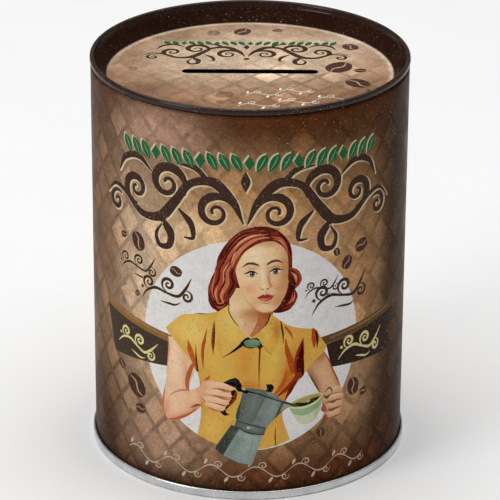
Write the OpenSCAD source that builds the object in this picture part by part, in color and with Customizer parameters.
// Round lithographed tin money box: a rolled wall, a countersunk top end with a
// coin slot, a plain bottom end with an emptying hole, and a push-in stopper.
// Stands on z = 0, axis on Z, front of the print towards -Y, lock seam towards +Y.

/* [Can] */
// Height of the closed can, floor to rim
can_h = 118.7; // [60:0.1:200]
// Outside diameter of the rolled wall
wall_d = 90.4; // [70:0.1:140]
// Thickness of the tinplate sheet
sheet_t = 0.25; // [0.2:0.01:0.35]
// Width of the folded lock seam down the back of the wall
lock_seam_w = 5; // [3:0.5:8]

/* [Seams] */
// Height of the double seam round the base
base_seam_h = 2.6; // [2.4:0.1:4]
// Height of the double seam that makes the rim
rim_seam_h = 1.7; // [1.6:0.1:4]
// Air left between two layers of folded sheet
layer_gap = 0.03; // [0.02:0.01:0.06]
// How far the rim stands proud of the wall
rim_proud = 0.2; // [0:0.05:0.8]
// Height of the curve that necks the wall in under the rim
neck_h = 1.2; // [0.8:0.1:4]

/* [Top end] */
// Depth of the printed panel below the rim
panel_depth = 5.8; // [3.5:0.1:12]
// How far the wall of the recess slopes in from the rim to the panel
recess_slope_w = 3.4; // [1:0.1:8]
// Radius of the bend round the edge of the panel
panel_bend_r = 1; // [0.5:0.1:2]
// Length of the coin slot
slot_l = 38.5; // [28:0.5:50]
// Width of the coin slot
slot_w = 3.1; // [2.4:0.1:4]

/* [Bottom end] */
// Height of the base panel above the floor
base_recess = 4; // [3.2:0.1:8]
// How far the wall of the base recess slopes in
base_slope_w = 1.2; // [0.5:0.1:5]
// Diameter of the emptying hole
hole_d = 38; // [24:0.5:50]
// Height of the collar drawn up round the emptying hole
collar_h = 1.6; // [1:0.1:3]

/* [Stopper] */
// Air between the stopper's skirt and the hole
skirt_gap = 0.3; // [0.2:0.05:0.6]
// Air between the stopper's snap bead and the hole
bead_gap = 0.1; // [0.05:0.05:0.2]
// Air between the stopper's flange and the base panel
seat_gap = 0.1; // [0.05:0.05:0.3]
// How far the flange laps over the edge of the hole
flange_lap = 3.5; // [2:0.1:8]
// Thickness of the flange
flange_t = 1.2; // [0.8:0.1:2]
// Thickness of the skirt and of the cup's floor
skirt_t = 1.2; // [0.8:0.1:2]
// Height of the skirt above the base panel
skirt_h = 9; // [6:0.5:16]
// Width of the finger bar across the cup
bar_w = 3.2; // [2:0.1:5]
// Height of the finger bar
bar_h = 4.5; // [3:0.1:5]
// Height of the snap bead round the skirt
bead_h = 1.6; // [1:0.1:2.5]

/* [Hidden] */
$fn = 96;

fold_steps = 7;
bend_steps = 5;
neck_steps = 8;

pitch = sheet_t + layer_gap;
wall_r = wall_d / 2 - sheet_t / 2;
neck_r = wall_d / 2 + rim_proud - 3 * pitch - sheet_t / 2;
outer_fold_h = 2 * pitch * cos(90 / fold_steps) + sheet_t / 2;
inner_fold_h = pitch * cos(90 / fold_steps) + sheet_t / 2;
hook_clear = 2 * sheet_t;

panel_top_z = can_h - panel_depth;
panel_r = neck_r - pitch - recess_slope_w;
slot_cut_h = 4 * sheet_t;

hole_r = hole_d / 2;
collar_bend_r = 0.5;
base_bend_r = 0.5;
base_panel_r = wall_r - pitch - base_slope_w;
collar_top_z = base_recess + sheet_t + collar_h;

lock_seam_t = 3 * sheet_t;
lock_seam_margin = 2;
lock_seam_z0 = base_recess + sheet_t + lock_seam_margin;
lock_seam_z1 = panel_top_z - sheet_t - lock_seam_margin;

flange_r = hole_r + flange_lap;
flange_top_z = base_recess - seat_gap;
flange_low_z = flange_top_z - flange_t;
skirt_r = hole_r - skirt_gap;
skirt_top_z = base_recess + skirt_h;
cup_r = skirt_r - skirt_t;
cup_top_z = skirt_top_z - skirt_t;
bead_r = hole_r - bead_gap;
bead_over_collar = 0.4;
bead_z0 = collar_top_z + bead_over_collar;
edge_round = 0.5;

// A vector of length 1 along v
function unit(v) = v / norm(v);

// v turned a quarter turn to the left
function left_of(v) = [-v[1], v[0]];

// v turned by a degrees
function turned(v, a) = [v[0] * cos(a) - v[1] * sin(a), v[0] * sin(a) + v[1] * cos(a)];

// Point i of a path moved sideways by d, mitred at the corners
function beside(path, i, d) =
    let (last = len(path) - 1,
         into = unit(i > 0 ? path[i] - path[i - 1] : path[1] - path[0]),
         away = unit(i < last ? path[i + 1] - path[i] : path[last] - path[last - 1]),
         mitre = unit(left_of(into) + left_of(away)))
    path[i] + mitre * d / (mitre * left_of(into));

// Outline of a sheet of thickness t whose middle follows a path
function sheet_outline(path, t) = concat(
    [for (i = [0 : len(path) - 1]) beside(path, i, t / 2)],
    [for (i = [len(path) - 1 : -1 : 0]) beside(path, i, -t / 2)]);

// The corner at b, between a and c, as an arc of radius r
function bent(a, b, c, r) =
    let (u = unit(a - b),
         w = unit(c - b),
         half = acos(u * w) / 2,
         centre = b + unit(u + w) * r / sin(half),
         start = b + u * r / tan(half) - centre,
         sweep = (180 - 2 * half) * sign(w[0] * u[1] - w[1] * u[0]))
    [for (k = [0 : bend_steps]) centre + turned(start, sweep * k / bend_steps)];

// An arc of radius r round a centre, that starts at angle a and turns by sweep
function fold(centre, r, a, sweep) =
    [for (k = [0 : fold_steps]) centre + r * [cos(a + sweep * k / fold_steps),
                                              sin(a + sweep * k / fold_steps)]];

// The hook on the end of the wall, inside a double seam. side is the wall's
// radius there, and the seam's crest is at height 0 with the seam above it.
function wall_hook(side, seam_h) = concat(
    fold([side + pitch, outer_fold_h], pitch, 180, 180),
    [[side + 2 * pitch, seam_h - inner_fold_h - hook_clear / 2]]);

// The end's part of a double seam: under the wall's hook, up outside it, and
// folded down between the hook and the wall. Heights as in wall_hook.
function end_hook(side, seam_h) = concat(
    fold([side + pitch, outer_fold_h], 2 * pitch, 180, 180),
    fold([side + 2 * pitch, seam_h - inner_fold_h], pitch, 0, 180),
    [[side + pitch, outer_fold_h + hook_clear / 2]]);

// A path turned over, so that its crest is at the rim
function at_rim(path) = [for (p = path) [p[0], can_h - p[1]]];

// A path read from its far end
function reversed(path) = [for (i = [len(path) - 1 : -1 : 0]) path[i]];

// The smooth step from the wall's radius to the neck's
function neck() =
    let (z1 = can_h - rim_seam_h - sheet_t)
    [for (k = [0 : neck_steps])
        [wall_r + (neck_r - wall_r) * (1 - cos(180 * k / neck_steps)) / 2,
         z1 + neck_h * (k / neck_steps - 1)]];

module sheet_ring(path) {
    rotate_extrude()
        polygon(sheet_outline(path, sheet_t));
}

// A ring segment between two radii, w wide, centred on +Y
module back_strip(r0, r1, w, z0, z1) {
    translate([0, 0, z0])
        intersection() {
            difference() {
                cylinder(r = r1, h = z1 - z0);
                translate([0, 0, -1])
                    cylinder(r = r0, h = z1 - z0 + 2);
            }
            translate([-w / 2, 0, -1])
                cube([w, wall_d, z1 - z0 + 2]);
        }
}

module stadium(l, w, h) {
    cube([l - w, w, h], center = true);
    for (side = [-1, 1])
        translate([side * (l - w) / 2, 0, 0])
            cylinder(d = w, h = h, center = true);
}

module body_wall() {
    color("#8a6a50") {
        sheet_ring(concat(
            reversed(wall_hook(wall_r, base_seam_h)),
            neck(),
            at_rim(wall_hook(neck_r, rim_seam_h))));
        back_strip(wall_d / 2 - sheet_t - lock_seam_t, wall_d / 2 - sheet_t / 2,
                   lock_seam_w, lock_seam_z0, lock_seam_z1);
    }
}

module top_end() {
    middle_z = panel_top_z - sheet_t / 2;
    centre = [0, middle_z];
    panel_edge = [panel_r, middle_z];
    rim_foot = [neck_r - pitch, can_h - rim_seam_h];
    rim_top = [neck_r - pitch, can_h - outer_fold_h];
    color("#3b241b")
        difference() {
            sheet_ring(concat(
                [centre],
                bent(centre, panel_edge, rim_foot, panel_bend_r),
                bent(panel_edge, rim_foot, rim_top, panel_bend_r),
                at_rim(end_hook(neck_r, rim_seam_h))));
            translate([0, 0, middle_z])
                stadium(slot_l, slot_w, slot_cut_h);
        }
}

module bottom_end() {
    middle_z = base_recess + sheet_t / 2;
    collar_top = [hole_r + sheet_t / 2, collar_top_z];
    collar_foot = [hole_r + sheet_t / 2, middle_z];
    panel_edge = [base_panel_r, middle_z];
    seam_foot = [wall_r - pitch, base_seam_h];
    seam_low = [wall_r - pitch, outer_fold_h];
    color("#c3c6ca")
        sheet_ring(concat(
            [collar_top],
            bent(collar_top, collar_foot, panel_edge, collar_bend_r),
            bent(collar_foot, panel_edge, seam_foot, base_bend_r),
            [seam_foot],
            end_hook(wall_r, base_seam_h)));
}

module stopper() {
    color("#26221f") {
        rotate_extrude()
            polygon([
                [0, cup_top_z],
                [cup_r, cup_top_z],
                [cup_r, flange_low_z],
                [flange_r - edge_round, flange_low_z],
                [flange_r, flange_low_z + edge_round],
                [flange_r, flange_top_z],
                [skirt_r, flange_top_z],
                [skirt_r, bead_z0],
                [bead_r, bead_z0 + bead_h / 3],
                [bead_r, bead_z0 + 2 * bead_h / 3],
                [skirt_r, bead_z0 + bead_h],
                [skirt_r - edge_round, skirt_top_z],
                [0, skirt_top_z]]);
        intersection() {
            translate([-bar_w / 2, -hole_r, flange_low_z])
                cube([bar_w, hole_d, bar_h]);
            cylinder(r = cup_r + skirt_t / 2, h = skirt_top_z);
        }
    }
}

body_wall();
top_end();
bottom_end();
stopper();
